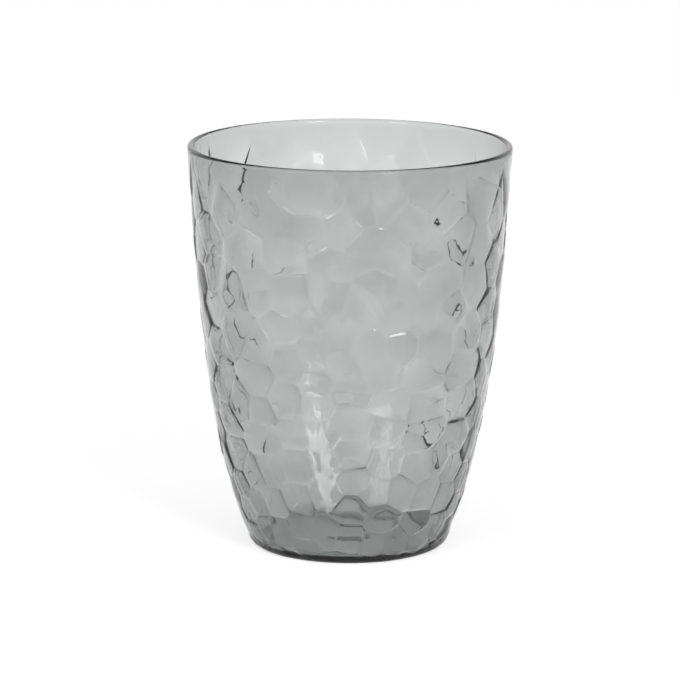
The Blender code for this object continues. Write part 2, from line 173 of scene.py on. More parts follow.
@dataclass
class HammerPattern:
    """The bosses that the hammered mould leaves on the outside.

    The cells are those of balls of one size at unlike depths: a boss owns each place where its
    ball would stand highest. Its own top is flatter than the ball, with a depth and a lean of its
    own, and falls to the groove over a rounded shoulder. Behind it the inside stands back a
    little. Angles are in radians and lengths in climb, so a depth is a share of the radius there,
    counted inwards from the wall's section.
    """

    section: WallSection
    band_height: float = 0.0018
    band_fade: float = 0.0110
    ball_radius: float = 0.0420
    ball_spread: float = 0.00012
    top_radius: float = 0.1300
    height_spread: float = 0.00030
    top_slope: float = 0.045
    swell_height: float = 0.00014
    swell_share: float = 0.27
    shoulder_drop: float = 0.00008
    shoulder_width: float = 0.00090
    columns: int = 28
    rows: int = 11
    jitter_share: float = 0.10
    jitter_growth: float = 0.10
    seed: int = 7
    first_column_deg: float = -87.5
    front_deg: float = -90.0
    least_edge_share: float = 0.30
    cell_reach_share: float = 2.5
    heel_row_share: float = -0.38
    heel_turn_share: float = 0.5
    clear_share: float = 0.66
    lift_shares: tuple[float, ...] = (
        0.13, 0.69, 0.40, 0.55, 0.05, 0.60, 0.15, 0.70, 0.10, 0.55, 0.00, 0.45, 0.95, 0.50,
        0.10, 0.62, 0.08, 0.58, 0.12, 0.66, 0.15, 0.52, 0.95, 0.40, 0.90, 0.27, 0.46, 0.63,
    )
    front_shares: tuple[Point, ...] = (
        (-0.106, 0.083), (-0.067, 0.104), (-0.030, 0.097), (0.001, 0.083), (0.037, 0.059),
        (0.074, 0.059), (0.101, 0.111), (0.048, 0.143), (-0.106, 0.188), (-0.068, 0.212),
        (-0.029, 0.233), (0.001, 0.184), (0.034, 0.236), (0.070, 0.229), (0.107, 0.209),
        (-0.101, 0.285), (-0.065, 0.309), (-0.026, 0.323), (0.006, 0.275), (0.043, 0.327),
        (0.091, 0.306), (-0.105, 0.375), (-0.065, 0.403), (-0.031, 0.403), (0.002, 0.351),
        (0.043, 0.414), (0.090, 0.389), (-0.106, 0.448), (-0.073, 0.483), (-0.036, 0.473),
        (0.000, 0.434), (0.050, 0.480), (0.088, 0.469), (-0.108, 0.528), (-0.066, 0.577),
        (-0.036, 0.532), (0.000, 0.518), (0.041, 0.553), (0.080, 0.546), (-0.107, 0.608),
        (-0.037, 0.601), (-0.007, 0.580), (0.021, 0.612), (0.054, 0.615), (0.095, 0.608),
        (-0.073, 0.653), (-0.040, 0.681), (-0.008, 0.653), (0.048, 0.695), (0.080, 0.692),
        (-0.066, 0.740), (-0.100, 0.744), (-0.018, 0.737), (0.014, 0.716), (0.031, 0.765),
        (0.066, 0.758), (0.098, 0.758), (-0.116, 0.827), (-0.071, 0.824), (-0.018, 0.813),
        (0.017, 0.845), (0.042, 0.824), (0.084, 0.831), (-0.104, 0.904), (-0.071, 0.897),
        (-0.036, 0.879), (-0.008, 0.893), (0.059, 0.897), (0.100, 0.911), (-0.115, 0.970),
        (-0.056, 0.966), (-0.024, 0.956), (0.010, 0.938), (0.036, 0.949),
    )
    top: float = field(init=False)
    ball: float = field(init=False)
    fade: float = field(init=False)
    row_pitch: float = field(init=False)
    angles: np.ndarray = field(init=False)
    climbs: np.ndarray = field(init=False)
    drops: np.ndarray = field(init=False)
    tops: np.ndarray = field(init=False)

    def __post_init__(self) -> None:
        """Place the bosses between the heel and the plain band."""
        rim_radius = self.section.rim_diameter / 2
        self.top = self.section.climb_at(self.section.height - self.band_height)
        self.ball = self.ball_radius / rim_radius
        self.fade = self.band_fade / rim_radius
        self.row_pitch = self.top / self.rows
        self.angles, self.climbs, self.drops = np.array(self.bosses()).T
        self.tops = np.array([*self.drawn_tops(self.height_spread / rim_radius)])

    def drawn_tops(self, spread: float) -> Iterator[tuple[float, float, float]]:
        """Yield depth, sideways slope and upward slope of each boss's top."""
        chance = random.Random(self.seed)
        slopes = (-self.top_slope, self.top_slope)
        for _ in self.angles:
            yield tuple(chance.uniform(low, high) for low, high in ((0.0, spread), slopes, slopes))

    def bosses(self) -> list[tuple[float, float, float]]:
        """Place the bosses and draw the depth of the ball of each.

        First come those of the front and a row whose middles lie just under the heel's edge, then
        the columns. Along a column the places are the less even the nearer they are to the rim,
        and one that is close to a boss of the front or the heel is left out.

        Returns:
            Angle, climb and the ball's drop of each boss.
        """
        chance = random.Random(self.seed)
        pitch = FULL_TURN / self.columns
        spread = self.ball_spread / (self.section.rim_diameter / 2)
        set_places = [
            (math.radians(self.front_deg) + turn_share * FULL_TURN, climb_share * self.top)
            for turn_share, climb_share in self.front_shares
        ]
        for column in range(self.columns):
            sideways = chance.uniform(-self.jitter_share, self.jitter_share)
            turn = column + self.heel_turn_share + sideways
            angle = math.radians(self.first_column_deg) + turn * pitch
            set_places.append((angle, self.heel_row_share * self.row_pitch))
        found = [(*place, chance.uniform(0.0, spread)) for place in set_places]
        for column in range(self.columns):
            lift = self.lift_shares[column % len(self.lift_shares)]
            for row in range(self.rows + 1):
                reach = self.jitter_share + self.jitter_growth * row / self.rows
                sideways = chance.uniform(-reach, reach)
                upwards = chance.uniform(-reach, reach)
                drop = chance.uniform(0.0, spread)
                angle = math.radians(self.first_column_deg) + (column + sideways) * pitch
                climb = (row + lift + upwards) * self.row_pitch
                fits = self.top - climb > self.least_edge_share * self.row_pitch
                if fits and self.clear_of(set_places, angle, climb):
                    found.append((angle, climb, drop))
        return found

    def clear_of(self, places: Sequence[Point], angle: float, climb: float) -> bool:
        """Return whether a place is far enough from all of some others.

        Args:
            places: Angles and climbs of the others.
            angle: Angle of the place.
            climb: Climb of the place.

        Returns:
            True where none of the others is too close.
        """
        for other_angle, other_climb in places:
            sideways = within_half_turn(other_angle - angle)
            if math.hypot(sideways, other_climb - climb) < self.clear_share * self.row_pitch:
                return False
        return True

    def top_depth(self, index: int, angle: float, climb: float) -> float:
        """Return how deep the top of one boss lies at a place.

        Args:
            index: Number of the boss.
            angle: Angle of the place.
            climb: Climb of the place.

        Returns:
            The depth, as a share of the radius there.
        """
        depth, sideways_slope, upward_slope = self.tops[index]
        sideways = within_half_turn(angle - self.angles[index])
        upwards = climb - self.climbs[index]
        fall = (sideways**2 + upwards**2) * self.section.rim_diameter / (4 * self.top_radius)
        return float(depth + sideways * sideways_slope + upwards * upward_slope + fall)

    def swells(self, angles: Sequence[float], climb: float) -> np.ndarray:
        """Return how far the inside stands back behind the bosses.

        Args:
            angles: Angles round the cup.
            climb: The climb of all of them.

        Returns:
            A distance in metres for each angle.
        """
        sideways = within_half_turn(np.array(angles)[:, None] - self.angles)
        reach = self.swell_share * self.row_pitch
        square = (sideways**2 + (self.climbs - climb) ** 2) / reach**2
        room = min(1.0, max(0.0, (self.top - climb) / self.fade))
        return self.swell_height * room * np.exp(-square / 2).sum(axis=1)

    def outline(self, index: int) -> list[Point]:
        """Return the corners of the cell in which the ball of one boss is the highest.

        Args:
            index: Number of the boss.

        Returns:
            Angles and climbs, counter-clockwise, between the heel and the plain band.
        """
        reach = self.cell_reach_share * self.row_pitch
        angle, climb, drop = self.angles[index], self.climbs[index], self.drops[index]
        low, high = -climb, self.top - climb
        corners: list[Point] = [(-reach, low), (reach, low), (reach, high), (-reach, high)]
        for other in range(len(self.angles)):
            sideways = within_half_turn(self.angles[other] - angle)
            upwards = self.climbs[other] - climb
            if other == index or abs(sideways) > reach or abs(upwards) > reach:
                continue
            limit = (sideways**2 + upwards**2) / 2 + self.ball * (self.drops[other] - drop)
            corners = keep_side(corners, (sideways, upwards), limit)
        return [(angle + corner[0], climb + corner[1]) for corner in corners]


def keep_side(corners: Sequence[Point], direction: Point, limit: float) -> list[Point]:
    """Cut a convex outline along a line.

    Args:
        corners: The outline's corners in order.
        direction: A vector square to the line.
        limit: The dot product with that vector on the line.

    Returns:
        The corners of the side where the dot product is under the limit.
    """
    kept: list[Point] = []
    for start, end in zip(corners, list(corners[1:]) + list(corners[:1])):
        start_over = start[0] * direction[0] + start[1] * direction[1] - limit
        end_over = end[0] * direction[0] + end[1] * direction[1] - limit
        if start_over <= 0:
            kept.append(start)
        if (start_over < 0 < end_over) or (end_over < 0 < start_over):
            share = start_over / (start_over - end_over)
            kept.append(tuple(s + share * (e - s) for s, e in zip(start, end)))
    return kept


@dataclass
class CellLayout:
    """The cells of the hammer pattern as flat outlines round a drum of radius 1."""

    pattern: HammerPattern
    edge_parts: int = 5
    weld_share: float = 0.07
    inside_share: float = 0.22
    corners: list[Point] = field(init=False, default_factory=list)
    drum: list[np.ndarray] = field(init=False, default_factory=list)

    def corner(self, angle: float, climb: float) -> int:
        """Find or add the corner at a place. One that is very close serves for it.

        Args:
            angle: Angle of the place.
            climb: Climb of the place.

        Returns:
            The corner's number.
        """
        point = np.array([math.cos(angle), math.sin(angle), climb])
        if self.drum:
            gaps = np.linalg.norm(np.array(self.drum) - point, axis=1)
            nearest = int(gaps.argmin())
            if gaps[nearest] < self.weld_share * self.pattern.row_pitch:
                return nearest
        self.drum.append(point)
        self.corners.append((angle, climb))
        return len(self.drum) - 1

    def cells(self) -> list[tuple[int, list[int]]]:
        """Join the cells' corners, those of the layout's two edges first.

        Returns:
            Each boss's number with the numbers of its cell's corners.
        """
        pattern = self.pattern
        outlines = [pattern.outline(index) for index in range(len(pattern.angles))]
        for outline in outlines:
            for angle, climb in outline:
                if climb < COINCIDENT or climb > pattern.top - COINCIDENT:
                    self.corner(angle, climb)
        found = []
        for index, outline in enumerate(outlines):
            numbers = [self.corner(*place) for place in outline]
            numbers = [n for n, after in zip(numbers, numbers[1:] + numbers[:1]) if n != after]
            if len(numbers) > 2:
                found.append((index, numbers))
        return found

    def middle(self, index: int, turned: Sequence[Point]) -> Point:
        """Return the place that a cell's rings of faces close in on.

        Args:
            index: Number of the cell's boss.
            turned: The cell's corners, on one side of the drum's seam.

        Returns:
            The boss's own place, or the mean of the corners where that place is near an edge.
        """
        pattern = self.pattern
        start = turned[0][0]
        angle = start + within_half_turn(pattern.angles[index] - start)
        climb = pattern.climbs[index]
        room = min(
            ((end[0] - begin[0]) * (climb - begin[1]) - (end[1] - begin[1]) * (angle - begin[0]))
            / max(math.hypot(end[0] - begin[0], end[1] - begin[1]), COINCIDENT)
            for begin, end in zip(turned, list(turned[1:]) + list(turned[:1]))
        )
        if room > self.inside_share * pattern.row_pitch:
            return angle, climb
        count = len(turned)
        return sum(p[0] for p in turned) / count, sum(p[1] for p in turned) / count

    def build(self) -> bpy.types.Object:
        """Return the layout as an object, with each cell's boss stored on its face."""
        mesh = bpy.data.meshes.new("cell_layout")
        bm = bmesh.new()
        groove_layer = bm.verts.layers.float.new("groove_depth")
        place_layer = bm.faces.layers.float_vector.new("boss_place")
        top_layer = bm.faces.layers.float_vector.new("boss_top")
        middle_layer = bm.faces.layers.float_vector.new("cell_middle")
        cells = self.cells()
        verts = [self.vertex(bm, angle, climb) for angle, climb in self.corners]
        ridges: dict[tuple[int, int], list[bmesh.types.BMVert]] = {}
        bosses_beside: dict[bmesh.types.BMVert, list[int]] = {}
        for index, numbers in cells:
            start = self.corners[numbers[0]][0]
            turned = [
                (start + within_half_turn(self.corners[n][0] - start), self.corners[n][1])
                for n in numbers
            ]
            loop = []
            for place, number in enumerate(numbers):
                after = (place + 1) % len(numbers)
                ends, places = (number, numbers[after]), (turned[place], turned[after])
                loop.append(verts[number])
                loop += self.ridge(bm, ridges, ends, places)
            face = bm.faces.new(loop)
            angle, climb = self.pattern.angles[index], self.pattern.climbs[index]
            face[place_layer] = (math.cos(angle), math.sin(angle), climb)
            face[top_layer] = self.pattern.tops[index]
            for vertex in loop:
                bosses_beside.setdefault(vertex, []).append(index)
            middle_angle, middle_climb = self.middle(index, turned)
            face[middle_layer] = (math.cos(middle_angle), math.sin(middle_angle), middle_climb)
        for vertex, indices in bosses_beside.items():
            vertex[groove_layer] = self.groove_depth(vertex, indices)
        bm.to_mesh(mesh)
        bm.free()
        LOG.info("laid out %d cells", len(cells))
        return linked("cell_layout", mesh)

    def groove_depth(self, vertex: bmesh.types.BMVert, indices: Sequence[int]) -> float:
        """Return how deep the groove between some cells lies at a vertex of their outlines.

        Args:
            vertex: A vertex of the layout.
            indices: Numbers of the bosses whose cells meet there.

        Returns:
            The depth, as a share of the radius there: a little under the mean of the tops, and
            just that mean on the layout's two edges.
        """
        pattern = self.pattern
        angle, climb = math.atan2(vertex.co.y, vertex.co.x), vertex.co.z
        depths = [pattern.top_depth(index, angle, climb) for index in indices]
        depth = sum(depths) / len(depths)
        if EDGE_TOLERANCE < climb < pattern.top - EDGE_TOLERANCE:
            depth += pattern.shoulder_drop / (pattern.section.rim_diameter / 2)
        return depth

    @staticmethod
    def vertex(bm: bmesh.types.BMesh, angle: float, climb: float) -> bmesh.types.BMVert:
        """Add a vertex on the drum."""
        return bm.verts.new((math.cos(angle), math.sin(angle), climb))

    def ridge(
        self,
        bm: bmesh.types.BMesh,
        ridges: dict[tuple[int, int], list[bmesh.types.BMVert]],
        ends: tuple[int, int],
        places: tuple[Point, Point],
    ) -> list[bmesh.types.BMVert]:
        """Return the vertices between the two ends of a ridge, shared by the cells beside it.

        Args:
            bm: The mesh that they are added to.
            ridges: The ridges made so far.
            ends: Numbers of the two corners.
            places: Angles and climbs of the two corners, on one side of the drum's seam.

        Returns:
            The vertices in order, without the corners.
        """
        key = (min(ends), max(ends))
        if key not in ridges:
            (angle, climb), (end_angle, end_climb) = places
            shares = [step / self.edge_parts for step in range(1, self.edge_parts)]
            made = [
                self.vertex(bm, angle + s * (end_angle - angle), climb + s * (end_climb - climb))
                for s in shares
            ]
            ridges[key] = made if ends == key else made[::-1]
        return ridges[key] if ends == key else ridges[key][::-1]

    @staticmethod
    def edge_places(layout: bpy.types.Object, climb: float) -> list[Point]:
        """Find the vertices along one of the layout's two edges.

        Args:
            layout: The layout.
            climb: The climb of that edge.

        Returns:
            Angle and depth of each vertex, in the order of the angles.
        """
        depths = layout.data.attributes["groove_depth"].data
        found = []
        for vertex in layout.data.vertices:
            if abs(vertex.co.z - climb) < EDGE_TOLERANCE:
                found.append((math.atan2(vertex.co.y, vertex.co.x), depths[vertex.index].value))
        return sorted(found)


@dataclass
class TurnedParts:
    """The rim, the inside, the heel and the foot, turned round the axis."""

    section: WallSection
    pattern: HammerPattern
    floor_thickness: float = 0.0014
    floor_fillet_radius: float = 0.0012
    foot_ring_width: float = 0.0026
    foot_recess: float = 0.0006
    foot_edge_radius: float = 0.00025
    recess_slope_width: float = 0.0010
    gate_diameter: float = 0.0030
    gate_height: float = 0.0003
    turn_steps: int = 252
    inside_steps: int = 90
    round_steps: int = 7
    heel_steps: int = 10
    floor_steps: int = 5
    ring_shares: Point = (0.35, 0.7)
    recess_shares: tuple[float, ...] = (0.75, 0.5, 0.25)
    gate_share: float = 0.5

    def arc(self, centre: Point, radius: float, start: float, end: float) -> list[Point]:
        """Lay out a round in section.

        Args:
            centre: Radius and height of its middle.
            radius: Its own radius.
            start: Direction of the first point, in radians.
            end: Direction of the last point.

        Returns:
            Radius and height of each point.
        """
        turns = np.linspace(start, end, self.round_steps + 1)
        return [(centre[0] + radius * math.cos(t), centre[1] + radius * math.sin(t)) for t in turns]

    def inside_profile(self) -> list[Point]:
        """Lay out the section over the rounded rim, down the inside and across the floor.

        Returns:
            Radius and height of each point.
        """
        section = self.section
        top = section.climbs[-1]
        lean = section.lean(top)
        rim_round = section.rim_round_radius
        outer = section.sunk(top, rim_round)
        inner_depth = section.wall - rim_round
        inner = section.sunk(section.meet(outer[1], inner_depth), inner_depth)
        profile = self.arc(outer, rim_round, -lean, math.pi / 2)
        profile += self.arc(inner, rim_round, math.pi / 2, math.pi - lean)
        floor = self.foot_recess + self.floor_thickness
        under = section.wall + self.floor_fillet_radius
        fillet_climb = section.meet(floor + self.floor_fillet_radius, under)
        start = section.meet(profile[-1][1], section.wall)
        for climb in np.linspace(start, fillet_climb, self.inside_steps)[1:-1]:
            profile.append(section.sunk(float(climb), section.wall))
        fillet = section.sunk(fillet_climb, under)
        fillet_lean = section.lean(fillet_climb)
        profile += self.arc(fillet, self.floor_fillet_radius, -fillet_lean, -math.pi / 2)
        edge = profile[-1][0]
        for step in range(1, self.floor_steps):
            profile.append((edge * (1 - step / self.floor_steps), floor))
        profile.append((0.0, floor))
        return profile

    def foot_profile(self, foot_radius: float) -> list[Point]:
        """Lay out the section from the flat foot ring into the recess and to the gate mark.

        Args:
            foot_radius: Radius of the foot ring's outer edge.

        Returns:
            Radius and height of each point.
        """
        edge = self.foot_edge_radius
        ring_edge = foot_radius - self.foot_ring_width
        slope = math.atan2(self.foot_recess, self.recess_slope_width)
        tangent = edge * math.tan(slope / 2)
        lower = (ring_edge + tangent, edge)
        upper = (ring_edge - self.recess_slope_width - tangent, self.foot_recess - edge)
        gate = self.gate_diameter / 2
        gate_face = self.foot_recess - self.gate_height
        profile = [(foot_radius - self.foot_ring_width * share, 0.0) for share in self.ring_shares]
        profile += self.arc(lower, edge, -math.pi / 2, -math.pi / 2 - slope)
        profile += self.arc(upper, edge, math.pi / 2 - slope, math.pi / 2)
        for share in self.recess_shares:
            profile.append((gate + (upper[0] - gate) * share, self.foot_recess))
        profile.append((gate, self.foot_recess))
        profile.append((gate - self.gate_height, gate_face))
        profile.append((gate * self.gate_share, gate_face))
        profile.append((0.0, gate_face))
        return profile

    @staticmethod
    def ring(
        bm: bmesh.types.BMesh, place: Point, angles: Sequence[float]
    ) -> list[bmesh.types.BMVert]:
        """Add a ring of vertices, or one vertex where its place is on the axis.

        Args:
            bm: The mesh that they are added to.
            place: Radius and height of the ring.
            angles: Angles of its vertices.

        Returns:
            The vertices in the order of the angles.
        """
        radius, height = place
        if radius < COINCIDENT:
            return [bm.verts.new((0.0, 0.0, height))]
        return [bm.verts.new((radius * math.cos(a), radius * math.sin(a), height)) for a in angles]

    @staticmethod
    def band(
        bm: bmesh.types.BMesh,
        first: list[bmesh.types.BMVert],
        second: list[bmesh.types.BMVert],
    ) -> None:
        """Join two rings by a band of faces.

        Args:
            bm: The mesh that the faces are added to.
            first: The one ring.
            second: The other ring, with the same angles, or a single vertex on the axis.
        """
        for place in range(len(first)):
            after = (place + 1) % len(first)
            if len(second) == 1:
                bm.faces.new((first[place], first[after], second[0]))
            else:
                bm.faces.new((first[place], first[after], second[after], second[place]))

    @staticmethod
    def zip_rings(
        bm: bmesh.types.BMesh,
        first: list[bmesh.types.BMVert],
        second: list[bmesh.types.BMVert],
    ) -> None:
        """Join two rings with different angles by triangles.

        Args:
            bm: The mesh that the faces are added to.
            first: The one ring.
            second: The other ring.
        """

        def angle(ring: list[bmesh.types.BMVert], place: int) -> float:
            """Return the angle of a vertex, counted on past a full turn."""
            vertex = ring[place % len(ring)].co
            return math.atan2(vertex.y, vertex.x) + FULL_TURN * (place // len(ring))

        first = sorted(first, key=lambda v: math.atan2(v.co.y, v.co.x))
        second = sorted(second, key=lambda v: math.atan2(v.co.y, v.co.x))
        i = j = 0
        while i < len(first) or j < len(second):
            a, b = first[i % len(first)], second[j % len(second)]
            step_first = j >= len(second)
            if i < len(first) and not step_first:
                step_first = angle(first, i + 1) < angle(second, j + 1)
            if step_first:
                i += 1
                bm.faces.new((a, first[i % len(first)], b))
            else:
                j += 1
                bm.faces.new((a, second[j % len(second)], b))

    def add_rim_and_inside(self, bm: bmesh.types.BMesh, band_places: Sequence[Point]) -> None:
        """Add the plain band, the rim and the inside, down to the floor's middle.

        Args:
            bm: The mesh that they are added to.
            band_places: Angle and depth of the vertices along the plain band's lower edge.
        """
        section = self.section
        band_angles = [angle for angle, _ in band_places]
        start = self.ring(bm, section.sunk(self.pattern.top, 0.0), band_angles)
        angles = [FULL_TURN * step / self.turn_steps for step in range(self.turn_steps)]
        middle_climb = (self.pattern.top + section.climbs[-1]) / 2
        ring = self.ring(bm, section.sunk(middle_climb, 0.0), angles)
        self.zip_rings(bm, start, ring)
        wall_foot = self.foot_recess + self.floor_thickness + self.floor_fillet_radius
        for place in self.inside_profile():
            after = self.ring(bm, place, angles)
            if wall_foot < place[1] < section.height - self.pattern.band_height:
                climb = section.climb_at(place[1])
                for vertex, swell in zip(after, self.pattern.swells(angles, climb)):
                    vertex.co.xy *= 1.0 + swell / place[0]
            self.band(bm, ring, after)
            ring = after

    def add_heel_and_foot(self, bm: bmesh.types.BMesh, heel_places: Sequence[Point]) -> None:
        """Add the heel, on whose round the lowest bosses fade out, and the foot under it.

        Args:
            bm: The mesh that they are added to.
            heel_places: Angle and depth of the vertices along the heel's upper edge.
        """
        section = self.section
        radius = section.heel_radius
        lean = section.lean(0.0)
        centre_radius = section.heel_diameter / 2 - radius * math.cos(lean)
        angles = [angle for angle, _ in heel_places]
        depths = [depth * section.sunk(0.0, 0.0)[0] for _, depth in heel_places]
        ring: list[bmesh.types.BMVert] = []
        for step in range(self.heel_steps + 1):
            share = step / self.heel_steps
            down = lean + (math.pi / 2 - lean) * share
            fade = 0.5 + 0.5 * math.cos(math.pi * share)
            after = []
            for angle, depth in zip(angles, depths):
                left = radius - depth * fade
                place = (centre_radius + left * math.cos(down), radius - left * math.sin(down))
                after += self.ring(bm, place, [angle])
            if ring:
                self.band(bm, ring, after)
            ring = after
        for place in self.foot_profile(centre_radius):
            after = self.ring(bm, place, angles)
            self.band(bm, ring, after)
            ring = after

    def build(self, layout: bpy.types.Object) -> bpy.types.Object:
        """Make the turned parts as one open mesh that closes the hammered outside.

        Args:
            layout: The layout of the cells, whose two edges the parts start from.

        Returns:
            The object.
        """
        bm = bmesh.new()
        self.add_rim_and_inside(bm, CellLayout.edge_places(layout, self.pattern.top))
        self.add_heel_and_foot(bm, CellLayout.edge_places(layout, 0.0))
        mesh = bpy.data.meshes.new("turned_parts")
        bm.to_mesh(mesh)
        bm.free()
        return linked("turned_parts", mesh)


class TreeMaker:
    """Adds nodes to a tree with short calls."""

    def __init__(self, tree: bpy.types.NodeTree) -> None:
        """Keep the tree."""
        self.tree = tree
        self.column = 0

    def node(self, kind: str, **settings: object) -> bpy.types.Node:
        """Add a node and set its properties.

        Args:
            kind: The node's type.
            **settings: Its properties.

        Returns:
            The node.
        """
        made = self.tree.nodes.new(kind)
        self.column += 1
        made.location = (self.column * NODE_PITCH, 0)
        for name, value in settings.items():
            setattr(made, name, value)
        return made

    def feed(self, socket: bpy.types.NodeSocket, value: object) -> None:
        """Link a socket to another, or set its value."""
        if isinstance(value, bpy.types.NodeSocket):
            self.tree.links.new(value, socket)
        else:
            socket.default_value = value

    def maths(self, operation: str, *values: object) -> bpy.types.NodeSocket:
        """Add a Math node.

        Args:
            operation: What it does.
            *values: Its inputs, each a socket or a number.

        Returns:
            The socket of its result.
        """
        made = self.node("ShaderNodeMath", operation=operation)
        for socket, value in zip(made.inputs, values):
            self.feed(socket, value)
        return made.outputs[0]

    def vectors(self, operation: str, *values: object) -> bpy.types.NodeSocket:
        """Add a Vector Math node.

        Args:
            operation: What it does.
            *values: Its inputs, each a socket, a vector or a number.

        Returns:
            The socket of its vector, or of its number where it measures a length.
        """
        made = self.node("ShaderNodeVectorMath", operation=operation)
        second = made.inputs["Scale"] if operation == "SCALE" else made.inputs[1]
        for socket, value in zip((made.inputs[0], second), values):
            self.feed(socket, value)
        return made.outputs["Value" if operation == "LENGTH" else "Vector"]

    def split(self, vector: object) -> bpy.types.Node:
        """Add a Separate XYZ node."""
        made = self.node("ShaderNodeSeparateXYZ")
        self.feed(made.inputs[0], vector)
        return made

    def combine(self, x: object, y: object, z: object) -> bpy.types.NodeSocket:
        """Add a Combine XYZ node and return its vector."""
        made = self.node("ShaderNodeCombineXYZ")
        for socket, value in zip(made.inputs, (x, y, z)):
            self.feed(socket, value)
        return made.outputs[0]

    def noise(
        self, where: bpy.types.NodeSocket, scale: float, detail: float
    ) -> bpy.types.NodeSocket:
        """Add a Noise Texture node.

        Args:
            where: The place that it is read at.
            scale: Its scale.
            detail: Its detail.

        Returns:
            The noise, from 0 to 1.
        """
        made = self.node("ShaderNodeTexNoise")
        self.feed(made.inputs["Vector"], where)
        made.inputs["Scale"].default_value = scale
        made.inputs["Detail"].default_value = detail
        return made.outputs[0]

    def ramp(self, value: bpy.types.NodeSocket, span: Point) -> bpy.types.NodeSocket:
        """Add a smooth rise.

        Args:
            value: What it rises with.
            span: The values at which it is 0 and 1.

        Returns:
            The socket of the rise.
        """
        rise = self.node("ShaderNodeMapRange", interpolation_type="SMOOTHSTEP")
        self.feed(rise.inputs["Value"], value)
        rise.inputs["From Min"].default_value, rise.inputs["From Max"].default_value = span
        return rise.outputs[0]

    def attribute(self, name: str, data_type: str) -> bpy.types.NodeSocket:
        """Add a Named Attribute node and return its value."""
        made = self.node("GeometryNodeInputNamedAttribute", data_type=data_type)
        made.inputs["Name"].default_value = name
        return made.outputs["Attribute"]


